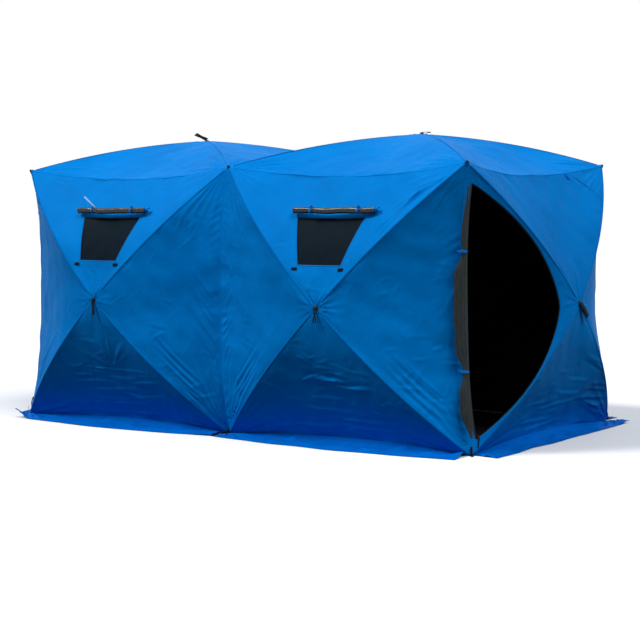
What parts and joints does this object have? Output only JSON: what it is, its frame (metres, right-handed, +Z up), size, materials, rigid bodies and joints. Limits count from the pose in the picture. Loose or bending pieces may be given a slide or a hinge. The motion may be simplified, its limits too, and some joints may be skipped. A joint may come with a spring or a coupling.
{
  "type": "pop-up ice fishing shelter",
  "caption": "Long pop-up ice fishing shelter of coated fabric on bent poles, with hub frames, windows, rolled covers, a snow skirt and an open end door.",
  "frame": {"origin": "on the ground, at the middle of the base", "axes": "+Z up, +X along the length towards the end with the open door, and the front wall facing -Y"},
  "size_m": [4.156, 2.49, 1.963],
  "materials": {
    "shell_fabric": "coated polyester, azure blue outside and black inside",
    "skirt_fabric": "coated polyester, blue",
    "fibreglass_pole": "black fibreglass rod",
    "hub_plastic": "black moulded plastic",
    "window_film": "clear flexible film, dark against the black inside",
    "cover_fabric": "dark grey coated side of the fabric",
    "tie_fabric": "blue webbing",
    "boot_rubber": "black rubber",
    "webbing": "black webbing"
  },
  "bodies": {
    "root": {"front_wall_left": "shell_fabric", "front_wall_right": "shell_fabric", "back_wall_left": "shell_fabric", "back_wall_right": "shell_fabric", "left_end_wall": "shell_fabric", "right_end_wall": "shell_fabric", "roof_left": "shell_fabric", "roof_right": "shell_fabric", "front_left_poles": "fibreglass_pole", "front_right_poles": "fibreglass_pole", "back_left_poles": "fibreglass_pole", "back_right_poles": "fibreglass_pole", "left_end_poles": "fibreglass_pole", "right_end_poles": "fibreglass_pole", "roof_left_poles": "fibreglass_pole", "roof_right_poles": "fibreglass_pole", "front_left_hub": "hub_plastic", "front_right_hub": "hub_plastic", "back_left_hub": "hub_plastic", "back_right_hub": "hub_plastic", "left_end_hub": "hub_plastic", "right_end_hub": "hub_plastic", "roof_left_hub": "hub_plastic", "roof_right_hub": "hub_plastic", "front_left_skirt": "skirt_fabric", "front_right_skirt": "skirt_fabric", "back_left_skirt": "skirt_fabric", "back_right_skirt": "skirt_fabric", "left_end_skirt": "skirt_fabric", "right_end_skirt": "skirt_fabric", "front_left_window": "window_film", "front_right_window": "window_film", "back_left_window": "window_film", "back_right_window": "window_film", "front_left_window_cover": "cover_fabric", "front_right_window_cover": "cover_fabric", "back_left_window_cover": "cover_fabric", "back_right_window_cover": "cover_fabric", "right_door_flap": "cover_fabric", "right_door_ties": "tie_fabric", "left_door": "shell_fabric", "roof_corner_boots": "boot_rubber", "ground_corner_feet": "hub_plastic", "hub_pull_straps": "webbing"}
  },
  "joints": []
}
